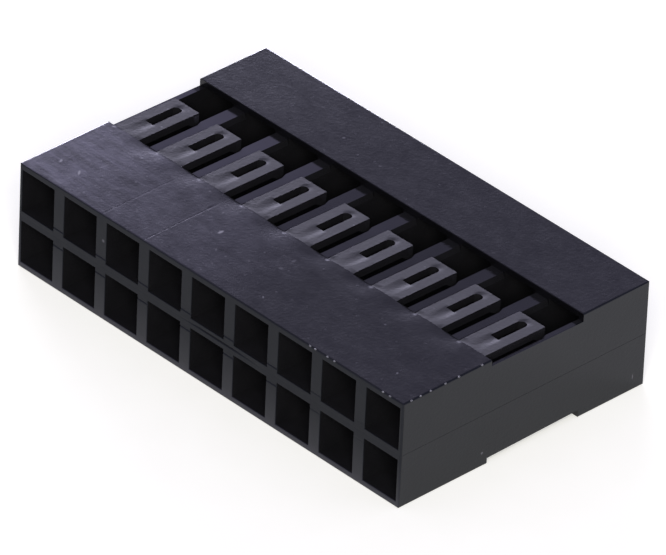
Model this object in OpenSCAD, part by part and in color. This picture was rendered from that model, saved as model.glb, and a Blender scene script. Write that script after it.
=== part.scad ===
// Two-row crimp connector housing, moulded in one piece and empty of contacts.
// X runs along the rows, the wire entries face -Y, the mating face is at +Y and +Z is up.
// The origin is at the centre of the underside. All sizes are in millimetres.

/* [Rows] */
// Contact positions in each row
columns = 9; // [2:1:20]
// Distance between neighbouring contacts of one row
pitch = 2.54; // [2.4:0.01:3.2]
// Distance between the pin entries of the two rows
row_pitch = 2.54; // [2.4:0.01:2.8]
// Wall between neighbouring wire cavities
column_wall = 0.6; // [0.45:0.01:0.75]
// Wall at each end of the rows
end_wall = 0.16; // [0.14:0.01:0.6]

/* [Body] */
// Length from the wire entries to the mating face
body_d = 13.6; // [12.6:0.1:18]
// Height over both rows
body_h = 5; // [4.8:0.1:6.5]
// Wall between the two rows
mid_wall = 0.46; // [0.3:0.02:0.7]
// Wall over each row of cavities
outer_wall = 0.27; // [0.2:0.01:0.35]
// Rounding of the outer edges
edge_r = 0.08; // [0.02:0.01:0.12]

/* [Recess] */
// Length of the full-height block at the wire entries
front_block = 4.84; // [3.6:0.02:6]
// Length of the full-height block at the mating face
rear_block = 3.7; // [2.6:0.1:5]
// Rounding of the edges of both steps
step_r = 0.04; // [0.01:0.01:0.1]
// How far the ribs lie below the cavity roof at the front of the recess
rib_drop_front = 0.02; // [0.01:0.01:0.2]
// How far the ribs lie below the cavity roof at the rear of the recess
rib_drop_rear = 0.1; // [0.01:0.01:0.3]
// Narrowing of each cavity side behind the latch
shoulder = 0.11; // [0:0.01:0.16]
// Length of the narrowing
shoulder_l = 0.3; // [0.1:0.02:0.6]
// Distance from the end of the narrowing to the rear block
shoulder_back = 1.85; // [1.2:0.05:2.6]

/* [Latches] */
// Free space between a tongue's tip and the rear block
tip_space = 1.76; // [1:0.02:2.2]
// Gap on each side of a tongue
side_gap = 0.24; // [0.16:0.01:0.34]
// Thickness of a tongue
tongue_t = 0.36; // [0.25:0.01:0.5]
// How far the tip lies below the root
tongue_drop = 0.06; // [0.02:0.01:0.2]
// Length over which the root thickens under the front block's roof
root_l = 0.8; // [0.3:0.05:1.5]
// Height of the catch under the tip
catch_h = 0.3; // [0.1:0.02:0.5]
// Length of the catch's flat end
catch_flat = 0.12; // [0.06:0.01:0.2]
// Length of the catch with its ramp
catch_l = 0.6; // [0.3:0.02:0.8]
// Width of the slot through a tongue
slot_w = 0.46; // [0.3:0.02:0.56]
// Distance from the root to the slot
slot_root = 1.22; // [0.8:0.02:1.4]
// Bar left between the slot and the tip
slot_tip = 0.37; // [0.3:0.01:0.5]
// Width of the groove that runs down into the slot
groove_w = 0.8; // [0.6:0.02:0.9]
// Depth of the groove at the slot
groove_depth = 0.08; // [0.04:0.01:0.16]
// Land left between the front block and the groove
groove_root = 0.03; // [0.01:0.01:0.2]
// How far the groove runs on beside the slot
groove_lap = 0.08; // [0.02:0.01:0.2]
// Width of the dish round the slot's far end
dish_w = 0.72; // [0.6:0.02:0.84]
// Depth that the dish would have at its centre
dish_depth = 0.08; // [0.04:0.01:0.14]

/* [Mating end] */
// Wall between the cavities and the mating face
nose_wall = 0.9; // [0.6:0.05:1.5]
// Width of a square pin entry
pin_hole = 1; // [0.7:0.02:1.2]
// Width of the funnel at the mating face
funnel_w = 1.5; // [1.3:0.02:1.7]
// Depth of the funnel
funnel_depth = 0.4; // [0.2:0.02:0.5]

/* [Hidden] */
$fn = 48;
cut = 0.5;
cavity_w = pitch - column_wall;
cavity_h = (body_h - mid_wall) / 2 - outer_wall;
body_w = (columns - 1) * pitch + cavity_w + 2 * end_wall;
half_h = body_h / 2;
recess_end = body_d - rear_block;
recess_front = outer_wall + rib_drop_front;
recess_rear = outer_wall + rib_drop_rear;
narrow_w = cavity_w - 2 * shoulder;
narrow_at = recess_end - shoulder_back;
cavity_end = body_d - nose_wall;
tongue_w = cavity_w - 2 * side_gap;
tongue_l = recess_end - front_block - tip_space;
tongue_tilt = atan(tongue_drop / tongue_l);
tongue_under = tongue_drop + tongue_t;
catch_root = tongue_l - catch_l;
catch_root_drop = tongue_drop * catch_root / tongue_l;
slot_l = tongue_l - slot_root - slot_tip;
slot_end = slot_root + slot_l - slot_w / 2;
groove_end = slot_root + groove_lap;
recess_profile = [
    [front_block, half_h - recess_front],
    [recess_end, half_h - recess_rear],
    [recess_end, half_h + cut],
    [front_block, half_h + cut]
];
cavity_plan = [
    [-cavity_w / 2, -cut],
    [cavity_w / 2, -cut],
    [cavity_w / 2, narrow_at - shoulder_l],
    [narrow_w / 2, narrow_at],
    [narrow_w / 2, cavity_end],
    [-narrow_w / 2, cavity_end],
    [-narrow_w / 2, narrow_at],
    [-cavity_w / 2, narrow_at - shoulder_l]
];
funnel_plan = [
    [-pin_hole / 2, body_d - funnel_depth],
    [pin_hole / 2, body_d - funnel_depth],
    [funnel_w / 2, body_d],
    [funnel_w / 2, body_d + cut],
    [-funnel_w / 2, body_d + cut],
    [-funnel_w / 2, body_d]
];
tongue_profile = [
    [-root_l, 0],
    [0, 0],
    [tongue_l, -tongue_drop],
    [tongue_l, -tongue_under - catch_h],
    [tongue_l - catch_flat, -tongue_under - catch_h],
    [catch_root, -catch_root_drop - tongue_t],
    [0, -tongue_t],
    [-root_l, -outer_wall]
];
groove_section = [
    [0, -groove_depth],
    [groove_w / 2, 0],
    [groove_w / 2, cut],
    [-groove_w / 2, cut],
    [-groove_w / 2, 0]
];
groove_ramp = [
    [groove_root, 0],
    [slot_root, -groove_depth],
    [groove_end, -groove_depth],
    [groove_end, cut],
    [groove_root, cut]
];
dish_half_section = [
    [0, -dish_depth],
    [dish_w / 2, 0],
    [dish_w / 2, cut],
    [0, cut]
];

// A profile drawn in Y and Z, extruded along X and centred
module along_row(width) {
    rotate([90, 0, 90])
        linear_extrude(height = width, center = true)
            children();
}

// What rounding takes off an outside corner, with signs that point out of the corner
module corner(at, out, r) {
    centre = at - out * r;
    reach = at + out * cut;
    difference() {
        translate([min(centre[0], reach[0]), min(centre[1], reach[1])])
            square(r + cut);
        translate(centre)
            circle(r);
    }
}

// Rectangle with rounded corners
module rounded(low, high) {
    difference() {
        translate(low)
            square(high - low);
        corner(low, [-1, -1], edge_r);
        corner(high, [1, 1], edge_r);
        corner([low[0], high[1]], [-1, 1], edge_r);
        corner([high[0], low[1]], [1, -1], edge_r);
    }
}

// Block with every outer edge rounded
module body() {
    intersection() {
        along_row(body_w)
            rounded([0, -half_h], [body_d, half_h]);
        linear_extrude(height = body_h, center = true)
            rounded([-body_w / 2, 0], [body_w / 2, body_d]);
        translate([0, body_d, 0])
            rotate([90, 0, 0])
                linear_extrude(height = body_d)
                    rounded([-body_w / 2, -half_h], [body_w / 2, half_h]);
    }
}

// Recess across the upper side, with the edges of both its steps rounded
module recess() {
    along_row(body_w + 2 * cut) {
        polygon(recess_profile);
        corner([front_block, half_h], [1, 1], step_r);
        corner([recess_end, half_h], [-1, 1], step_r);
    }
}

// Repeats an upper piece half a turn round for the lower side
module each_side() {
    for (turn = [0, 180])
        rotate([0, turn, 0])
            children();
}

// Repeats the upper row's piece at every contact of both rows
module each_contact() {
    each_side()
        for (i = [0 : columns - 1])
            translate([(i - (columns - 1) / 2) * pitch, 0, 0])
                children();
}

// Chamber for one contact, open to the wire side
module cavity() {
    translate([0, 0, mid_wall / 2])
        linear_extrude(height = cavity_h)
            polygon(cavity_plan);
}

// One side of the square lead-in
module funnel_wedge() {
    linear_extrude(height = funnel_w, center = true)
        polygon(funnel_plan);
}

// Square entry for one pin, with its lead-in at the mating face
module pin_entry() {
    translate([-pin_hole / 2, cavity_end - cut, (row_pitch - pin_hole) / 2])
        cube([pin_hole, nose_wall + 2 * cut, pin_hole]);
    translate([0, 0, row_pitch / 2])
        intersection() {
            funnel_wedge();
            rotate([0, 90, 0])
                funnel_wedge();
        }
}

// Groove in a tongue that widens as it deepens from the root to the slot
module groove() {
    intersection() {
        translate([0, groove_end, 0])
            rotate([90, 0, 0])
                linear_extrude(height = groove_end - groove_root)
                    polygon(groove_section);
        along_row(groove_w)
            polygon(groove_ramp);
    }
}

// Shallow cone round the far end of a tongue's slot
module dish() {
    translate([0, slot_end, 0])
        rotate_extrude()
            polygon(dish_half_section);
}

// Slot through a tongue, square at the root end and round at the tip end
module slot() {
    translate([-slot_w / 2, slot_root, -tongue_t - catch_h - cut])
        cube([slot_w, slot_end - slot_root, tongue_t + catch_h + 2 * cut]);
    translate([0, slot_end, -tongue_t - catch_h - cut])
        cylinder(d = slot_w, h = tongue_t + catch_h + 2 * cut);
}

// Latch tongue of one contact, rooted at the front block
module tongue() {
    translate([0, front_block, half_h])
        difference() {
            along_row(tongue_w)
                polygon(tongue_profile);
            rotate([-tongue_tilt, 0, 0]) {
                groove();
                dish();
                slot();
            }
        }
}

// The whole moulding
module housing() {
    color([0.07, 0.07, 0.075])
        translate([0, -body_d / 2, half_h]) {
            difference() {
                body();
                each_side()
                    recess();
                each_contact() {
                    cavity();
                    pin_entry();
                }
            }
            each_contact()
                tongue();
        }
}

housing();
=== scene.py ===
import math
import bpy
import bmesh
import mathutils
import numpy as np
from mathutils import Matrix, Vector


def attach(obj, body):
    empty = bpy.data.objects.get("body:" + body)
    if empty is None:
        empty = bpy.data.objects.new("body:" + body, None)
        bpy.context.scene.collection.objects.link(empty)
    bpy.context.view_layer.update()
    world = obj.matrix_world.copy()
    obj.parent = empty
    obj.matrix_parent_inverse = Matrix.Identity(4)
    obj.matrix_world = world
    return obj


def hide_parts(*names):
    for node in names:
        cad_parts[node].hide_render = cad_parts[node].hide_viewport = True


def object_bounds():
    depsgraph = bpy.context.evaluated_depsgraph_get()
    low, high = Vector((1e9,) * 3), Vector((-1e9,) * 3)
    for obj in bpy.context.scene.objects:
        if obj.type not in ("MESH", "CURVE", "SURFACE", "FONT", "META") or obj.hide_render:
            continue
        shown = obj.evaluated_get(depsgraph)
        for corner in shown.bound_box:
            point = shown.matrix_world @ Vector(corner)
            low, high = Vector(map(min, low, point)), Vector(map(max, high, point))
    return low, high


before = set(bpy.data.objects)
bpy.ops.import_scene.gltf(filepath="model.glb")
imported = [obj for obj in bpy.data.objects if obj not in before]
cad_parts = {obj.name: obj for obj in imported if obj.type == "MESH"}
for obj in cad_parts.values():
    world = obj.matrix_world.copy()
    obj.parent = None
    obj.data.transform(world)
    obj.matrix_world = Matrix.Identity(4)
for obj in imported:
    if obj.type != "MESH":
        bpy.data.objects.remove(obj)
cad_box = [list(corner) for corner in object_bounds()]


# The moulding and its seams: one piece of black plastic, shot into a mould that parts at mid-height. The
# parting line runs along both ends and the wire side, and gapes a little in the middle of the wire side.
# The slide that forms the wire cavities leaves short lines across the walls between them.

MM = 0.001
SAME_POINT = 0.0001 * MM
MIDDLE = 2.5 * MM
PITCH = 2.54 * MM
COLUMNS = 9
CENTRES = (np.arange(COLUMNS) - (COLUMNS - 1) / 2) * PITCH
SKIN_DEPTH = 0.1 * MM
SQUARE_ON = 0.99
PARTING_HALF_WIDTH = 0.006 * MM
PARTING_DEPTH = 0.025 * MM
SLIDE_LEVELS = (2.92 * MM, 2.09 * MM)
SLIDE_HALF_WIDTH = 0.05 * MM
SLIDE_DEPTH = 0.04 * MM
SLIDE_FADE = (4.0 * MM, 9.5 * MM)
ROW_WALL_HALF = 0.3 * MM
SLIT_LEVEL = 2.53 * MM
SLIT_HALF_WIDTH = 0.05 * MM
SLIT_LEAST_DEPTH = 0.006 * MM
SLIT_GAPE_DEPTH = 0.09 * MM
SLIT_CENTRE = 0.7 * MM
SLIT_REACH = 3.2 * MM
SLIT_CELL = 0.25 * MM


def cut(skin, faces, place, normal):
    """Cuts faces where a plane meets them. Returns the faces that they became and the cut's points."""
    edges = {edge for face in faces for edge in face.edges}
    verts = {vert for face in faces for vert in face.verts}
    made = bmesh.ops.bisect_plane(skin, geom=[*faces, *edges, *verts], dist=SAME_POINT,
                                  plane_co=place, plane_no=normal)
    parts = [item for item in made["geom"] if isinstance(item, bmesh.types.BMFace)]
    points = [item for item in made["geom_cut"] if isinstance(item, bmesh.types.BMVert)]
    return parts, points


def grid(skin, faces, across, along):
    """Cuts faces by upright planes across and along the rows."""
    for step in along:
        faces, _ = cut(skin, faces, (0, step, 0), (0, 1, 0))
    for step in across:
        faces, _ = cut(skin, faces, (step, 0, 0), (1, 0, 0))


def swell(reach):
    """A smooth hump: one at nought, falling as a cosine to nought at one and beyond."""
    return 0.5 + 0.5 * np.cos(np.pi * np.clip(np.abs(reach), 0, 1))


def on_ends(face):
    """True for the flat faces at both ends of the rows."""
    outside = abs(face.calc_center_median().x) > cad_box[1][0] - SKIN_DEPTH
    return outside and abs(face.normal.x) > SQUARE_ON


def on_wire_side(face):
    """True for the flat faces round the wire entries."""
    outside = face.calc_center_median().y < cad_box[0][1] + SKIN_DEPTH
    return outside and face.normal.y < -SQUARE_ON


def on_row_wall(face):
    """True for the flat faces of the wall between the rows at the wire side."""
    return on_wire_side(face) and abs(face.calc_center_median().z - MIDDLE) < ROW_WALL_HALF


def slide_depth(x):
    """Depth of the slide's lines: even at the left, a straight fade to the right, none at the ends."""
    return np.interp(x, SLIDE_FADE, (SLIDE_DEPTH, 0)) * (abs(x) < CENTRES[-1])


def slit_depth(x):
    """Depth of the wire side's parting line: a faint line, and a squared cosine where it gapes."""
    return SLIT_LEAST_DEPTH + SLIT_GAPE_DEPTH * swell((x - SLIT_CENTRE) / SLIT_REACH) ** 2


def cut_seam(skin, belongs, level, half_width, depth):
    """V groove at one height in the faces that belong to it: three level cuts, of which the middle
    one is pushed in to a depth that is a function of the place along the row."""
    for side in (-1, 1, 0):
        faces = [face for face in skin.faces if belongs(face)]
        _, valley = cut(skin, faces, (0, 0, level + side * half_width), (0, 0, 1))
    for vert in valley:
        outward = sum((face.normal for face in vert.link_faces if belongs(face)), mathutils.Vector())
        vert.co -= outward.normalized() * float(depth(vert.co.x))


def cut_seams(skin):
    """Cuts the parting line at the ends, the slide's lines and the gaping line of the wire side."""
    cut_seam(skin, on_ends, MIDDLE, PARTING_HALF_WIDTH, lambda x: PARTING_DEPTH)
    for level in SLIDE_LEVELS:
        cut_seam(skin, on_wire_side, level, SLIDE_HALF_WIDTH, slide_depth)
    grid(skin, [face for face in skin.faces if on_row_wall(face)],
         np.arange(SLIT_CENTRE - SLIT_REACH, SLIT_CENTRE + SLIT_REACH, SLIT_CELL), ())
    cut_seam(skin, on_row_wall, SLIT_LEVEL, SLIT_HALF_WIDTH, slit_depth)


# The roof over the wire cavities: the plastic sinks a little over each wall between two cavities,
# near the recess, and is scarred at the left corner of each tongue's root. Fine seams of the mould's
# inserts cross it.

ROOT = -1.96 * MM
ROOF_LEVEL = 2.4 * MM
ROOF_FACING = 0.5
SINK_FROM = -3.2 * MM
SINK_SHIFT = 0.1 * MM
SINK_REACH = 1.15 * MM
SINK_DEPTH = 0.042 * MM
SINK_TAIL = 0.28 * MM
SCAR_PLACE = (-0.69 * MM, -2.05 * MM)
SCAR_REACH = (0.15 * MM, 0.12 * MM)
SCAR_DEPTH = 0.006 * MM
ROOF_CELL = 0.14 * MM
SCAR_CELL = 0.04 * MM
SEAM_ACROSS = (-6.42 * MM, -6.40 * MM, -6.30 * MM, -3.93 * MM, -3.915 * MM, -3.85 * MM)
SEAM_DEPTHS = (0, 0.004 * MM, 0, 0, 0.006 * MM, 0)
SEAM_FADE = (-3.1 * MM, -2.6 * MM)


def on_roof(face):
    """True for the outer faces of the front block's roof."""
    middle = face.calc_center_median()
    outside = abs(middle.z - MIDDLE) > ROOF_LEVEL
    return outside and middle.y < ROOT and abs(face.normal.z) > ROOF_FACING


def on_sunk_roof(face):
    """True for the outer faces of the roof near the recess."""
    return on_roof(face) and face.calc_center_median().y > SINK_FROM


def sink(x, y):
    """Depth of the sink marks: a cosine across each inner wall, a cosine that fades to the front and
    a short one that fades into the tongues' roots."""
    off = x - SINK_SHIFT
    wall = np.clip(np.round(off / PITCH - 0.5), -(COLUMNS // 2), COLUMNS // 2 - 1) + 0.5
    fade = np.where(y < ROOT, swell((ROOT - y) / (ROOT - SINK_FROM)), swell((y - ROOT) / SINK_TAIL))
    return SINK_DEPTH * swell((off - wall * PITCH) / SINK_REACH) * fade


def scar(x, y):
    """Share of the scars' depth: a round cosine hump at each tongue's root."""
    column = np.clip(np.round((x - SCAR_PLACE[0]) / PITCH), -(COLUMNS // 2), COLUMNS // 2)
    off = (x - SCAR_PLACE[0] - column * PITCH) / SCAR_REACH[0]
    return swell(np.hypot(off, (y - SCAR_PLACE[1]) / SCAR_REACH[1]))


def roof_height(x, y, z):
    """Height of the roof above mid-height: as it was, less the sinks and scars and less the inserts'
    seams, each a steep step down and a slope back up that ends before the recess."""
    seam = np.interp(x, SEAM_ACROSS, SEAM_DEPTHS) * np.interp(y, SEAM_FADE, (1, 0))
    return z - sink(x, y) - SCAR_DEPTH * scar(x, y) - seam


def grid_columns(skin, belongs, centres, steps, along):
    """Cuts the faces that belong to it into a grid, one pitch's width after the other."""
    halves = (centres[:-1] + centres[1:]) / 2
    grid(skin, [face for face in skin.faces if belongs(face)], halves, ())
    for centre in centres:
        faces = [face for face in skin.faces if belongs(face)
                 and abs(face.calc_center_median().x - centre) < PITCH / 2]
        grid(skin, faces, centre + steps, along)


def press(points, height):
    """Sets points to a height above or below mid-height, on the side where each of them lies."""
    place = np.array([vert.co for vert in points])
    level = height(place[:, 0], place[:, 1], np.abs(place[:, 2] - MIDDLE))
    for vert, new, old in zip(points, level, place[:, 2]):
        vert.co.z = MIDDLE + math.copysign(new, old - MIDDLE)


def press_roof(skin):
    """Cuts the roof's end into a grid, finer at the scars, and presses sinks, scars and seams."""
    grid(skin, [face for face in skin.faces if on_roof(face)], SEAM_ACROSS, (SINK_FROM,))
    scar_front = SCAR_PLACE[1] - SCAR_REACH[1]
    steps = np.concatenate([np.arange(ROOF_CELL / 2 - PITCH / 2, PITCH / 2, ROOF_CELL),
                            SCAR_PLACE[0] + np.arange(-SCAR_REACH[0], SCAR_REACH[0], SCAR_CELL)])
    along = np.concatenate([np.arange(SINK_FROM + ROOF_CELL, scar_front, ROOF_CELL),
                            np.arange(scar_front, ROOT, SCAR_CELL)])
    grid_columns(skin, on_sunk_roof, CENTRES, steps, along)
    press(list({vert for face in skin.faces if on_roof(face) for vert in face.verts}), roof_height)


# The latch tongues: each is moulded on at the roof's end and pressed in along its middle by a ramp that
# deepens from the root to the slot, where a tool slides in, and by a shallow dish round the slot's far
# end.

TIP = 1.34 * MM
LATCH_LEVEL = 2.33 * MM
LATCH_MARGIN = 0.01 * MM
LATCH_FACING = 0.8
TONGUE_DROP = 0.06 * MM
SLOT_FROM = -0.74 * MM
RAMP_VALLEY = 0.05 * MM
RAMP_REACH = (0.46 * MM, 0.34 * MM)
RAMP_DEPTH = 0.0275 * MM
RAMP_FADE = 0.16 * MM
DISH_PLACE = 0.92 * MM
DISH_REACH = 0.36 * MM
DISH_DEPTH = 0.018 * MM
LATCH_HALF_WIDTH = 0.54 * MM
LATCH_CELL = 0.06 * MM


def on_latch(face):
    """True for the outer faces of the latch tongues, which a matter part of the mould shapes."""
    middle = face.calc_center_median()
    outside = abs(middle.z - MIDDLE) > LATCH_LEVEL
    within = ROOT - LATCH_MARGIN < middle.y < TIP + LATCH_MARGIN
    return outside and within and abs(face.normal.z) > LATCH_FACING


def latch_height(x, y, z):
    """Height of a tongue's outer face above mid-height: a plane that falls to the tip, less the roof's
    sink, less the ramp (a cosine across, longer to the left, that grows along the tongue) and less the
    dish (a cosine of the distance from the slot's far end)."""
    off = (x / PITCH + 0.5) % 1 * PITCH - PITCH / 2
    plane = MIDDLE - TONGUE_DROP * np.clip((y - ROOT) / (TIP - ROOT), 0, 1)
    slope = np.clip((y - ROOT) / (SLOT_FROM - ROOT), 0, 1)
    fade = swell(np.maximum(y - SLOT_FROM, 0) / RAMP_FADE)
    aside = off - RAMP_VALLEY
    ramp = RAMP_DEPTH * slope * fade * swell(aside / np.where(aside < 0, *RAMP_REACH))
    dish = DISH_DEPTH * swell(np.hypot(off, y - DISH_PLACE) / DISH_REACH)
    return plane - sink(x, y) - np.maximum(ramp, dish)


def press_latches(skin):
    """Cuts the tongues' outer faces into a grid and sets every point of it to the latch's height."""
    steps = np.arange(-LATCH_HALF_WIDTH, LATCH_HALF_WIDTH + LATCH_CELL, LATCH_CELL)
    grid_columns(skin, on_latch, CENTRES, steps, np.arange(ROOT + LATCH_CELL, TIP, LATCH_CELL))
    points = list({vert for face in skin.faces if on_latch(face) for vert in face.verts})
    press(points, latch_height)
    bmesh.ops.remove_doubles(skin, verts=points, dist=SAME_POINT)
    skin.normal_update()


# The ribs: the walls between the cavities end in the recess as ribs with steep bevelled edges. They are
# moulded in one with the walls, and wider behind the latches, where the cavities narrow.

RECESS_END = 3.1 * MM
RIB_LEVELS = (2.1 * MM, 2.25 * MM)
RIB_FACING = 0.9
RIB_HALF_WIDTHS = (0.3 * MM, 0.41 * MM)
RIB_WIDENS = (0.95 * MM, 1.25 * MM)
RIB_BEVEL = 0.09 * MM
RIB_BEVEL_DROP = 0.25 * MM
WALLS = (CENTRES[:-1] + CENTRES[1:]) / 2


def on_rib(face):
    """True for the outer faces of the ribs."""
    middle = face.calc_center_median()
    inside = ROOT < middle.y < RECESS_END and abs(middle.x) < CENTRES[-1]
    level = RIB_LEVELS[0] < abs(middle.z - MIDDLE) < RIB_LEVELS[1]
    return inside and level and face.normal.z * math.copysign(1, middle.z - MIDDLE) > RIB_FACING


def rib_height(x, y, z):
    """Height of a rib above mid-height: as it was, less a steep straight slope along each edge."""
    off = np.abs(x % PITCH - PITCH / 2)
    inset = np.interp(y, RIB_WIDENS, RIB_HALF_WIDTHS) - off
    return z - np.interp(inset, (0, RIB_BEVEL), (RIB_BEVEL_DROP, 0))


def press_ribs(skin):
    """Cuts the ribs' outer faces along their edges, aslant where they widen, and lowers the edges."""
    reach = np.array(RIB_HALF_WIDTHS) - RIB_BEVEL
    grid_columns(skin, on_rib, WALLS, np.concatenate([-reach, reach]), RIB_WIDENS)
    run, rise = RIB_WIDENS[1] - RIB_WIDENS[0], reach[1] - reach[0]
    for wall in WALLS:
        for side in (-1, 1):
            faces = [face for face in skin.faces if on_rib(face)
                     and abs(face.calc_center_median().x - wall) < PITCH / 2
                     and RIB_WIDENS[0] < face.calc_center_median().y < RIB_WIDENS[1]]
            slant = mathutils.Vector((run, -side * rise, 0)).normalized()
            cut(skin, faces, (wall + side * reach[0], RIB_WIDENS[0], 0), slant)
    press(list({vert for face in skin.faces if on_rib(face) for vert in face.verts}), rib_height)


# The whole skin and its rims: the solid's own faces are kept, and only where the mould or the cooling
# plastic leaves a finer form are they cut and pressed. The mouths of the cavities and of the pin entries
# have slightly broken edges.

SAME_PLANE = math.radians(0.1)
EDGE_BREAK = 0.02 * MM
EDGE_STEPS = 3
SOFTEST_EDGE = math.radians(32)
BROADEST_ROUNDING = 0.1 * MM
FLAT_FACING = 0.95
# Shift of the mark for painted shade, so that it lies on the roof left of each wall between cavities.
SINK_SHADE_SHIFT = 0.45 * MM


def merged_copy(node):
    """Copy of a solid's loose triangles as one closed skin, with the triangles of a plane joined."""
    skin = bmesh.new()
    skin.from_mesh(node.data)
    bmesh.ops.remove_doubles(skin, verts=skin.verts, dist=SAME_POINT)
    bmesh.ops.dissolve_limit(skin, angle_limit=SAME_PLANE, verts=skin.verts, edges=skin.edges)
    return skin


def is_pressed(face):
    """True for the faces of the pressed grids."""
    return on_latch(face) or on_sunk_roof(face)


def is_flat(face):
    """True for a face that is more than the narrow strip of a rounding, and not pressed."""
    longest = max(edge.calc_length() for edge in face.edges)
    broad = face.calc_area() > BROADEST_ROUNDING * longest
    return (broad or on_roof(face) and abs(face.normal.z) > FLAT_FACING) and not is_pressed(face)


def break_rims(skin):
    """Rounds the convex edges between flat faces at the mouths."""
    rims = []
    for edge in skin.edges:
        at_mouth = all(abs(vert.co.y) > cad_box[1][1] - SAME_POINT for vert in edge.verts)
        whole = at_mouth and all(is_flat(face) for face in edge.link_faces)
        if whole and edge.calc_face_angle_signed() > SOFTEST_EDGE:
            rims.append(edge)
    bmesh.ops.bevel(skin, geom=rims, offset=EDGE_BREAK, offset_type="OFFSET", segments=EDGE_STEPS,
                    profile=0.5, affect="EDGES", clamp_overlap=False)


def shown(name, data):
    """An object in the scene, at the origin, that holds a mesh, a lamp or a camera."""
    holder = bpy.data.objects.new(name, data)
    bpy.context.scene.collection.objects.link(holder)
    return holder


def moulded_skin(node, name):
    """The solid's skin with its seams cut, its roof, latches and ribs pressed and its rims broken. Flat
    faces are shaded flat, the others smooth. The latches are marked for their finish, the scars for a
    painted glint, and the roof left of each wall between cavities for painted shade."""
    skin = merged_copy(node)
    cut_seams(skin)
    press_roof(skin)
    press_latches(skin)
    press_ribs(skin)
    break_rims(skin)
    skin.normal_update()
    latch = skin.faces.layers.float.new("latch_face")
    marks = [skin.verts.layers.float.new(mark) for mark in ("scar", "sink_shade")]
    for face in skin.faces:
        face.smooth = not is_flat(face)
        face[latch] = 1.0 if on_latch(face) else 0.0
    for edge in skin.edges:
        at_border = len({is_pressed(face) for face in edge.link_faces}) > 1
        edge.smooth = abs(edge.calc_face_angle_signed()) < SOFTEST_EDGE and not at_border
    verts = list(skin.verts)
    x, y, z = np.array([vert.co for vert in verts]).T
    roof = np.abs(z - MIDDLE) > ROOF_LEVEL
    # The second mark is the sink's depth shifted to the left of each wall: where shade is painted.
    for mark, shares in zip(marks, (scar(x, y), sink(x + SINK_SHADE_SHIFT, y) / SINK_DEPTH)):
        for vert, share in zip(verts, shares * roof):
            vert[mark] = share
    mesh = bpy.data.meshes.new(name)
    skin.to_mesh(mesh)
    skin.free()
    return shown(name, mesh)


housing = moulded_skin(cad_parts["housing"], "moulded_housing")


# Its plastic: black all through, with the finish that each part of the mould gives it. The latches are
# matt, the roof goes from scuffed and streaky at the left to smooth at the right, and the rest is smooth
# with faint clouds of flow. Pale dust lies on the upper side. Shade is painted on the sides, the ends,
# the step at the back of the recess and beside the sinks, light at the foot of the wire side and on the
# ribs, and a glint at each tongue's root.

PLASTIC_IOR = 1.36
GLOSS_TINT = (0.92, 0.91, 1.0, 1)
NOISE_SPAN = (0.25, 0.75)
BROAD_DETAIL = 3
FINE_DETAIL = 2

# Where each finish lies and how wide its patches are, in millimetres: a pair is where it begins to show
# and where it shows in full, or where it lasts and where it has gone.
FLOW_WIDTHS = (1.3, 0.9, 1.1)
PATCH_WIDTHS = (0.5, 0.35, 0.5)
STREAK_WIDTHS = (2.8, 0.4, 1.0)
LINE_WIDTHS = (1.6, 0.12, 1.0)
GRAIN_WIDTHS = (0.13, 0.13, 0.13)
UPPER_LEVEL = (4.88, 4.95)
ROOF_EDGE = (-1.85, -2.1)
REAR_EDGE = (2.9, 3.1)
RECESS_LEVELS = (4.5, 4.76)
RECESS_SOFT = 0.02
RIB_START = (-2.1, -1.7)
# Where the ribs' haze ends before the rear step, which leaves painted shade there.
RIB_END = (2.62, 2.76)
WORN_EDGE = (-6.2, -6.7)
FRONT_EDGE = (-6.74, -6.78)
SIDE_EDGES = (6.74, 6.78)
END_EDGES = (11.2, 11.27)
STEP_PLACE = (3.0, 3.2)
STEP_SOFT = 0.05
UPWARD = (0.7, 0.9)
FORWARD = (-0.7, -0.9)

LATCH_ROUGHNESS = 0.6
PLAIN_ROUGHNESS = 0.2
REAR_ROUGHNESS = 0.25
REAR_FADE = (-10.0, -1.5)
RIB_ROUGHNESS = 0.1
FLOW_ROUGHNESS = 0.018
PATCH_ROUGHNESS = 0.02
FRONT_FINISH = ((0.0, 0.35), (1.2, 0.5), (1.9, 0.58), (2.25, 0.65), (2.75, 0.65), (3.1, 0.61),
                (5.0, 0.66))
ROOF_FINISH = ((-11.3, 0.29), (-9.0, 0.28), (-7.6, 0.25), (-3.9, 0.24), (-1.0, 0.22), (1.6, 0.2),
               (11.3, 0.185))
HAZE_SPREAD = ((-11.3, 0.35), (-9.0, 0.32), (-7.6, 0.22), (-6.4, 0.17), (-3.95, 0.145), (-3.8, 0.13),
               (-2.0, 0.125), (0.0, 0.06), (2.5, 0.0), (11.3, 0.0))
# Haze on the ribs along the row: partly scuffs, partly painted light.
RIB_HAZE_AND_LIGHT = ((-11.3, 0.29), (-6.3, 0.31), (-3.8, 0.2), (-1.3, 0.07), (1.3, 0.1), (3.8, 0.02), (6.3, 0.03),
            (11.3, 0.06))
# Pale band at the foot of the wire side, by height: painted light.
FRONT_FOOT_LIGHT = ((0.0, 0.165), (0.5, 0.055), (2.0, 0.0), (5.0, 0.0))
# Tone of the scuffs' haze and of the painted light.
HAZE_AND_LIGHT_TONE = (0.15, 0.145, 0.192, 1)
FLOW_SCUFF = 0.3
PATCH_SCUFF = 0.25
LINE_SCUFF = 0.4
STREAK_SCUFF = 0.5
LONG_SCUFF = (0.35, 1.0)
LEAST_SCUFF = 0.5
# Share of the haze that is left where shade is painted beside the sinks.
SINK_SHADE_HAZE = 0.3
PLAIN_TONES = ((0.0085, 0.0085, 0.0092, 1), (0.0115, 0.0115, 0.0125, 1))
# Darker, bluer tones of the wire side, the mating side and the ends: painted shade.
SIDE_SHADE_TONES = ((0.002, 0.0034, 0.0048, 1), (0.0035, 0.005, 0.0066, 1))
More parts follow.
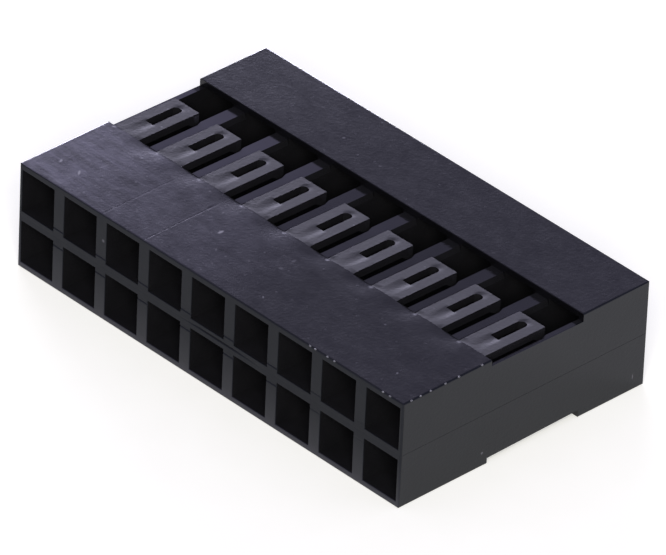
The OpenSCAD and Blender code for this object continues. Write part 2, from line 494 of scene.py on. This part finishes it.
# Darker tone of the step at the back of the recess: painted shade.
STEP_SHADE_TONE = (0.004, 0.004, 0.0045, 1)
LATCH_TONE = (0.012, 0.012, 0.013, 1)
SCRATCH_RELIEF = 0.2
GRAIN_RELIEF = (1.0, 1.8)
RELIEF_HEIGHT = 0.001 * MM

# Tone of the dust, and of the painted glints at the tongues' roots.
DUST_AND_GLINT_TONE = (0.22, 0.22, 0.24, 1)
DUST_CELL = 0.8
DUST_SPREAD = ((-11.3, 0.34), (0.0, 0.34), (3.5, 0.14), (11.3, 0.1))
REAR_DUST = 0.5
CRUMB_REACH = (0.09, 0.02)
CRUMB_RARITY = 3.0
# Share of the pale tone on each scar: a painted glint at each tongue's root.
SCAR_GLINT_SHARE = 0.75
SPECK_EDGE = (1.0, 0.3)

# Each larger speck's centre and half widths in millimetres, its turn in degrees and its strength.
SPECKS = (
    ((-2.33, -4.0, 5.0), (0.10, 0.21, 0.1), 0, 1.0),
    ((1.14, -3.93, 5.0), (0.13, 0.13, 0.1), 0, 0.2),
    ((1.09, -3.18, 5.0), (0.10, 0.16, 0.1), 0, 0.2),
    ((6.74, -3.48, 5.0), (0.07, 0.07, 0.1), 0, 0.3),
    ((9.54, -5.47, 5.0), (0.06, 0.10, 0.1), 35, 0.4),
    ((2.20, -5.88, 5.0), (0.05, 0.11, 0.1), 45, 0.5),
    ((-10.33, -5.43, 5.0), (0.08, 0.18, 0.1), 30, 0.9),
    ((-9.20, -5.46, 5.0), (0.07, 0.26, 0.1), 40, 0.9),
    ((-1.52, -5.0, 5.0), (0.06, 0.12, 0.1), 40, 0.25),
    ((-4.22, 4.55, 5.0), (0.10, 0.10, 0.1), 0, 0.35),
    ((-2.93, 4.12, 5.0), (0.08, 0.08, 0.1), 0, 0.2),
    ((-2.12, 4.30, 5.0), (0.06, 0.09, 0.1), 0, 0.2),
    ((-1.72, 4.24, 5.0), (0.06, 0.09, 0.1), 0, 0.2),
    ((0.80, 5.15, 5.0), (0.07, 0.07, 0.1), 0, 0.15),
    ((11.29, -2.26, 0.66), (0.1, 0.08, 0.08), 0, 0.4),
    ((11.29, 6.12, 0.66), (0.1, 0.05, 0.17), 0, 0.3),
    ((-6.22, -6.8, 3.78), (0.1, 0.1, 0.1), 0, 0.35),
)


def add(tree, kind, sockets, **properties):
    """A shader node of one kind, with its inputs set or linked by socket and its properties by name."""
    node = tree.nodes.new(kind)
    for key, value in properties.items():
        setattr(node, key, value)
    for key, value in sockets.items():
        if isinstance(value, bpy.types.NodeSocket):
            tree.links.new(value, node.inputs[key])
        else:
            node.inputs[key].default_value = value
    return node


def carried(tree, value, low, high, start, end, kind="SMOOTHSTEP"):
    """A value carried from one span to another: smoothly and no further, or in a straight line."""
    sockets = {"Value": value, "From Min": low, "From Max": high, "To Min": start, "To Max": end}
    clamp = kind == "SMOOTHSTEP"
    return add(tree, "ShaderNodeMapRange", sockets, interpolation_type=kind, clamp=clamp).outputs[0]


def reckoned(tree, operation, *values):
    """Values put together by an operation."""
    return add(tree, "ShaderNodeMath", dict(enumerate(values)), operation=operation).outputs[0]


def times(tree, *values):
    """The product of two values."""
    return reckoned(tree, "MULTIPLY", *values)


def mixed(tree, share, first, second):
    """A value between two others, by a share of the second."""
    return add(tree, "ShaderNodeMix", {0: share, 2: first, 3: second}).outputs[0]


def tinted(tree, share, first, second):
    """A colour between two others, by a share of the second."""
    return add(tree, "ShaderNodeMix", {0: share, 6: first, 7: second}, data_type="RGBA").outputs[2]


def mottle_group():
    """Node group for the clouds of every material here: noise at a place times a scale, carried in a
    straight line so that it runs about nought."""
    group = bpy.data.node_groups.new("mottle", "ShaderNodeTree")
    for name, kind in (("Place", "Vector"), ("Scale", "Vector"), ("Detail", "Float")):
        group.interface.new_socket(name, in_out="INPUT", socket_type=f"NodeSocket{kind}")
    group.interface.new_socket("Level", in_out="OUTPUT", socket_type="NodeSocketFloat")
    given = add(group, "NodeGroupInput", {}).outputs
    scaled = add(group, "ShaderNodeMapping", {"Vector": given["Place"], "Scale": given["Scale"]})
    noise = add(group, "ShaderNodeTexNoise", {"Vector": scaled.outputs[0], "Scale": 1.0,
                                              "Detail": given["Detail"]})
    level = carried(group, noise.outputs[0], *NOISE_SPAN, -1, 1, "LINEAR")
    add(group, "NodeGroupOutput", {"Level": level})
    return group


mottle = mottle_group()


def cloud(tree, place, widths, detail):
    """The mottle about nought, with patches of a width along each axis."""
    sockets = {"Place": place, "Scale": [1 / width for width in widths], "Detail": detail}
    return add(tree, "ShaderNodeGroup", sockets, node_tree=mottle).outputs["Level"]


def share_of(tree, level):
    """A level about nought as a share from nought to one."""
    return carried(tree, level, -1, 1, 0, 1, "LINEAR")


def span(tree, value, low, high, soft):
    """One where a value lies between two others, with soft ends."""
    above = carried(tree, value, low - soft, low + soft, 0, 1)
    return times(tree, above, carried(tree, value, high - soft, high + soft, 1, 0))


def course(tree, value, stops):
    """A level that runs in straight lines through stops, each a value and its level."""
    low, high = stops[0][0], stops[-1][0]
    along = carried(tree, value, low, high, 0, 1, "LINEAR")
    ramp = add(tree, "ShaderNodeValToRGB", {"Fac": along})
    elements = ramp.color_ramp.elements
    while len(elements) < len(stops):
        elements.new(0.5)
    for element, (reach, level) in zip(elements, stops):
        element.position = (reach - low) / (high - low)
        element.color = (level, level, level, 1)
    return ramp.outputs[0]


plastic = bpy.data.materials.new("black_moulded_plastic")
plastic.use_nodes = True
tree = plastic.node_tree
shader = tree.nodes["Principled BSDF"]
shader.inputs["IOR"].default_value = PLASTIC_IOR
shader.inputs["Specular Tint"].default_value = GLOSS_TINT

# Places in millimetres, clouds of each width, and the parts of the skin that have a finish of their own.
texture = add(tree, "ShaderNodeTexCoord", {}).outputs
place = add(tree, "ShaderNodeMapping", {"Vector": texture["Object"], "Scale": (1 / MM,) * 3}).outputs[0]
x, y, z = add(tree, "ShaderNodeSeparateXYZ", {0: place}).outputs
flow = cloud(tree, place, FLOW_WIDTHS, BROAD_DETAIL)
patch = cloud(tree, place, PATCH_WIDTHS, BROAD_DETAIL)
streak = cloud(tree, place, STREAK_WIDTHS, BROAD_DETAIL)
line = cloud(tree, place, LINE_WIDTHS, FINE_DETAIL)
grain = cloud(tree, place, GRAIN_WIDTHS, FINE_DETAIL)
facing = add(tree, "ShaderNodeSeparateXYZ", {0: texture["Normal"]}).outputs
upward = carried(tree, facing[2], *UPWARD, 0, 1)
upper = times(tree, upward, carried(tree, z, *UPPER_LEVEL, 0, 1))
roof = times(tree, upper, carried(tree, y, *ROOF_EDGE, 0, 1))
rear = times(tree, upper, carried(tree, y, *REAR_EDGE, 0, 1))
low = times(tree, upward, span(tree, z, *RECESS_LEVELS, RECESS_SOFT))
rib_length = times(tree, carried(tree, y, *RIB_START, 0, 1), carried(tree, y, *RIB_END, 1, 0))
rib = times(tree, low, rib_length)
left = carried(tree, x, *WORN_EDGE, 0, 1)
front = carried(tree, y, *FRONT_EDGE, 0, 1)
outer = reckoned(tree, "MAXIMUM", carried(tree, reckoned(tree, "ABSOLUTE", y), *SIDE_EDGES, 0, 1),
                 carried(tree, reckoned(tree, "ABSOLUTE", x), *END_EDGES, 0, 1))
step = times(tree, carried(tree, facing[1], *FORWARD, 0, 1), span(tree, y, *STEP_PLACE, STEP_SOFT))
marks = {name: add(tree, "ShaderNodeAttribute", {}, attribute_name=name).outputs["Fac"]
         for name in ("latch_face", "scar", "sink_shade")}
latch = marks["latch_face"]

# Roughness of each part, with a little of the clouds in it.
rear_rough = carried(tree, x, *REAR_FADE, REAR_ROUGHNESS, PLAIN_ROUGHNESS)
side_rough = mixed(tree, low, mixed(tree, rear, PLAIN_ROUGHNESS, rear_rough), RIB_ROUGHNESS)
plain_rough = mixed(tree, front, side_rough, course(tree, z, FRONT_FINISH))
clear_rough = mixed(tree, roof, plain_rough, course(tree, x, ROOF_FINISH))
body_rough = reckoned(tree, "MULTIPLY_ADD", flow, FLOW_ROUGHNESS, clear_rough)
outer_rough = mixed(tree, latch, body_rough, LATCH_ROUGHNESS)
roughness = reckoned(tree, "MULTIPLY_ADD", patch, PATCH_ROUGHNESS, outer_rough)
tree.links.new(roughness, shader.inputs["Roughness"])

# Colour: the black plastic, a pale haze of scuffs over it that also paints light at the foot of the wire
# side and on the ribs, painted shade on the sides, the ends, the step and beside the sinks, then dust,
# painted glints and single specks.
patch_scuff = reckoned(tree, "MULTIPLY_ADD", patch, PATCH_SCUFF, 1.0)
soft_scuff = reckoned(tree, "MULTIPLY_ADD", flow, FLOW_SCUFF, patch_scuff)
long_scuff = reckoned(tree, "MULTIPLY_ADD", line, LINE_SCUFF, times(tree, streak, STREAK_SCUFF))
long_share = carried(tree, left, 0, 1, *LONG_SCUFF)
scuff = reckoned(tree, "MULTIPLY_ADD", long_scuff, long_share, soft_scuff)
scuff = reckoned(tree, "MAXIMUM", scuff, LEAST_SCUFF)
# Painted shade: the haze thins on the roof left of each wall, where the sink tilts away from the lamp.
sink_shade_factor = carried(tree, marks["sink_shade"], 0, 1, 1, SINK_SHADE_HAZE, "LINEAR")
roof_spread = times(tree, roof, course(tree, x, HAZE_SPREAD))
roof_haze = times(tree, roof_spread, times(tree, scuff, sink_shade_factor))
# Partly painted light: the ribs get a haze, lightest at the left, that ends before the rear step,
# leaving painted shade there.
rib_haze_and_light = times(tree, rib, course(tree, x, RIB_HAZE_AND_LIGHT))
# Painted light: a pale band along the foot of the wire side.
front_foot_light = times(tree, front, course(tree, z, FRONT_FOOT_LIGHT))
haze_and_light = reckoned(tree, "ADD", roof_haze, reckoned(tree, "ADD", rib_haze_and_light, front_foot_light))
flow_share = share_of(tree, flow)
plain_tone = tinted(tree, flow_share, *PLAIN_TONES)
# Painted shade: the wire side, the mating side and the ends get a darker, bluer tone than the top.
tone = tinted(tree, outer, plain_tone, tinted(tree, flow_share, *SIDE_SHADE_TONES))
hazed_and_lit = tinted(tree, latch, tinted(tree, haze_and_light, tone, HAZE_AND_LIGHT_TONE), LATCH_TONE)
# Painted shade: the step at the back of the recess is darker still.
clean = tinted(tree, step, hazed_and_lit, STEP_SHADE_TONE)
dust_cells = {"Vector": place, "Scale": (1 / DUST_CELL,) * 3}
dust_place = add(tree, "ShaderNodeMapping", dust_cells).outputs[0]
crumbs = add(tree, "ShaderNodeTexVoronoi", {"Vector": dust_place, "Scale": 1.0},
             voronoi_dimensions="2D").outputs
crumb_size = add(tree, "ShaderNodeSeparateColor", {0: crumbs["Color"]}).outputs[0]
near = carried(tree, crumbs["Distance"], *CRUMB_REACH, 0, 1)
crumb = times(tree, near, reckoned(tree, "POWER", crumb_size, CRUMB_RARITY))
dusty = times(tree, course(tree, x, DUST_SPREAD), carried(tree, rear, 0, 1, 1, REAR_DUST))
dust_and_glints = times(tree, crumb, times(tree, upper, dusty))
# Painted highlight: a pale glint on the scar at each tongue's root, in the dust's tone.
dust_and_glints = reckoned(tree, "MAXIMUM", dust_and_glints, times(tree, marks["scar"], SCAR_GLINT_SHARE))
for centre, widths, turn, strength in SPECKS:
    sockets = {"Vector": place, "Location": centre, "Scale": widths,
               "Rotation": (0, 0, math.radians(turn))}
    about = add(tree, "ShaderNodeMapping", sockets, vector_type="TEXTURE").outputs[0]
    away = add(tree, "ShaderNodeVectorMath", {0: about}, operation="LENGTH").outputs["Value"]
    dust_and_glints = reckoned(tree, "MAXIMUM", dust_and_glints, carried(tree, away, *SPECK_EDGE, 0, strength))
tree.links.new(tinted(tree, dust_and_glints, clean, DUST_AND_GLINT_TONE), shader.inputs["Base Color"])

# Fine relief: a grain all over, stronger on the upper side, and scratches in the worn part of the roof.
scratch = times(tree, times(tree, left, roof), times(tree, patch, SCRATCH_RELIEF))
grain_share = carried(tree, upward, 0, 1, *GRAIN_RELIEF)
relief = reckoned(tree, "MULTIPLY_ADD", grain, grain_share, scratch)
bump = add(tree, "ShaderNodeBump", {"Height": relief, "Distance": RELIEF_HEIGHT, "Strength": 1.0})
tree.links.new(bump.outputs[0], shader.inputs["Normal"])

housing.data.materials.clear()
housing.data.materials.append(plastic)
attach(housing, "root")
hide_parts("housing")


# Nibs of flash: small beads of plastic in a pale tone, left along the right and front edges of
# the roof where the mould's parts meet badly.

NIB_INSET = 0.04 * MM
NIB_RADIUS = 0.04 * MM
NIB_LENGTH = 0.08 * MM
NIB_TURNS = 16
NIB_RINGS = 9
RIGHT_NIBS = (-6.33, -5.83, -5.28, -4.48, -3.75, -2.48)
FRONT_NIBS = (5.9, 6.2, 6.9, 7.3, 10.1, 10.5)
NIB_CLOUD_WIDTHS = (0.2 * MM,) * 3
NIB_TONES = ((0.08, 0.08, 0.09, 1), (0.16, 0.16, 0.175, 1))


def ellipsoids(name, centres, radii):
    """Beads on a grid of turns and rings: each point is a bead's centre plus its radii times the sines
    and cosines of its turn and ring."""
    turn, ring = np.meshgrid(np.arange(NIB_TURNS) / NIB_TURNS * 2 * np.pi,
                             np.linspace(0, np.pi, NIB_RINGS), indexing="ij")
    unit = np.stack([np.sin(ring) * np.cos(turn), np.sin(ring) * np.sin(turn), np.cos(ring)], axis=-1)
    points = np.array(centres)[:, None, None, :] + np.array(radii)[:, None, None, :] * unit
    number = np.arange(points.size // 3).reshape(points.shape[:3])
    ahead = np.roll(number, -1, axis=1)
    quads = np.stack([number[..., :-1], number[..., 1:], ahead[..., 1:], ahead[..., :-1]], axis=-1)
    mesh = bpy.data.meshes.new(name)
    mesh.from_pydata(points.reshape(-1, 3).tolist(), [], quads.reshape(-1, 4).tolist())
    skin = bmesh.new()
    skin.from_mesh(mesh)
    bmesh.ops.remove_doubles(skin, verts=skin.verts, dist=SAME_POINT)
    for face in skin.faces:
        face.smooth = True
    skin.to_mesh(mesh)
    skin.free()
    return shown(name, mesh)


nib_level = cad_box[1][2] - NIB_INSET
nib_centres = [(cad_box[1][0] - NIB_INSET, step * MM, nib_level) for step in RIGHT_NIBS]
nib_centres += [(step * MM, cad_box[0][1] + NIB_INSET, nib_level) for step in FRONT_NIBS]
nib_radii = [(NIB_RADIUS, NIB_LENGTH, NIB_RADIUS)] * len(RIGHT_NIBS)
nib_radii += [(NIB_LENGTH, NIB_RADIUS, NIB_RADIUS)] * len(FRONT_NIBS)
nibs = ellipsoids("flash_nibs", nib_centres, nib_radii)

nib_plastic = bpy.data.materials.new("pale_nib_plastic")
nib_plastic.use_nodes = True
nib_tree = nib_plastic.node_tree
nib_place = add(nib_tree, "ShaderNodeTexCoord", {}).outputs["Object"]
nib_cloud = cloud(nib_tree, nib_place, NIB_CLOUD_WIDTHS, FINE_DETAIL)
nib_tone = tinted(nib_tree, share_of(nib_tree, nib_cloud), *NIB_TONES)
nib_tree.links.new(nib_tone, nib_tree.nodes["Principled BSDF"].inputs["Base Color"])
nibs.data.materials.append(nib_plastic)
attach(nibs, "root")


# The table that it lies on: a wide sheet of matt white board, which isn't part of the object. It keeps
# the part's soft shadow, and glows a little where the camera or a reflection sees it.

FLOOR_REACH = 3.0
BOARD_WIDTHS = (2 * MM,) * 3
BOARD_TONES = ((0.79, 0.80, 0.68, 1), (0.81, 0.82, 0.70, 1))
BOARD_GLOW = (0.4, 0.4, 0.4, 1)

floor_mesh = bpy.data.meshes.new("floor")
floor_mesh.from_pydata(
    [(-FLOOR_REACH, -FLOOR_REACH, 0), (FLOOR_REACH, -FLOOR_REACH, 0),
     (FLOOR_REACH, FLOOR_REACH, 0), (-FLOOR_REACH, FLOOR_REACH, 0)],
    [], [(0, 1, 2, 3)])
floor = shown("floor", floor_mesh)

board = bpy.data.materials.new("white_board")
board.use_nodes = True
board_tree = board.node_tree
board_tree.nodes.clear()
board_place = add(board_tree, "ShaderNodeTexCoord", {}).outputs["Object"]
board_fibre = cloud(board_tree, board_place, BOARD_WIDTHS, BROAD_DETAIL)
board_tone = tinted(board_tree, share_of(board_tree, board_fibre), *BOARD_TONES)
board_matt = add(board_tree, "ShaderNodeBsdfDiffuse", {"Color": board_tone}).outputs[0]
board_path = add(board_tree, "ShaderNodeLightPath", {}).outputs
board_seen = reckoned(board_tree, "ADD", board_path["Is Camera Ray"], board_path["Is Glossy Ray"])
board_seen = reckoned(board_tree, "ADD", board_seen, board_path["Is Transmission Ray"])
board_light = {"Color": BOARD_GLOW, "Strength": board_seen}
board_glow = add(board_tree, "ShaderNodeEmission", board_light).outputs[0]
board_sum = add(board_tree, "ShaderNodeAddShader", {0: board_matt, 1: board_glow}).outputs[0]
add(board_tree, "ShaderNodeOutputMaterial", {"Surface": board_sum})
floor.data.materials.append(board)


# Light: a white room with one soft lamp low behind on the left, which grazes the upper side, and a wide
# one above the front on the right, which lights the wire side.

ROOM_LIGHT = (0.35, 0.34, 0.51, 1)

world = bpy.data.worlds.new("white_room")
bpy.context.scene.world = world
world.use_nodes = True
world.node_tree.nodes["Background"].inputs["Color"].default_value = ROOM_LIGHT
world.node_tree.nodes["Background"].inputs["Strength"].default_value = 1.0


def soft_lamp(name, direction, distance, size, radiance, colour):
    """Rectangular lamp in a direction from the part, facing it, with a brightness of its face."""
    lamp = bpy.data.lights.new(name, "AREA")
    lamp.shape = "RECTANGLE"
    lamp.size, lamp.size_y = size
    lamp.energy = radiance * math.pi * size[0] * size[1]
    lamp.color = colour
    holder = shown(name, lamp)
    way = np.array(direction) / np.linalg.norm(direction)
    holder.location = way * distance
    holder.rotation_euler = (math.acos(way[2]), 0, math.atan2(way[0], -way[1]))
    holder.visible_camera = False


soft_lamp("low_lamp", direction=(-0.83, 0.55, 0.087), distance=1.2, size=(0.6, 0.2),
          radiance=50.0, colour=(0.97, 0.945, 1.2))
soft_lamp("front_lamp", direction=(0.592, -0.584, 0.555), distance=1.5, size=(0.6, 0.6),
          radiance=16.0, colour=(1.0, 0.96, 0.93))


# Camera: a long lens from the front right, as the part was photographed. Its focal length is in the
# picture's pixels, and its turn in degrees.

CAMERA_PLACE = (0.262936, -0.258868, 0.248752)
CAMERA_TURN = (56.2317, -2.1523, 46.8703)
FOCAL_PIXELS = 10998.0
PICTURE_WIDTH = 666
SENSOR_WIDTH = 36
NEAREST = 0.01
FARTHEST = 100

camera_data = bpy.data.cameras.new("camera")
camera_data.sensor_width = SENSOR_WIDTH
camera_data.lens = FOCAL_PIXELS * SENSOR_WIDTH / PICTURE_WIDTH
camera_data.clip_start = NEAREST
camera_data.clip_end = FARTHEST
camera = shown("camera", camera_data)
camera.location = CAMERA_PLACE
camera.rotation_euler = [math.radians(angle) for angle in CAMERA_TURN]
bpy.context.scene.camera = camera
bpy.context.scene.view_settings.view_transform = "Standard"
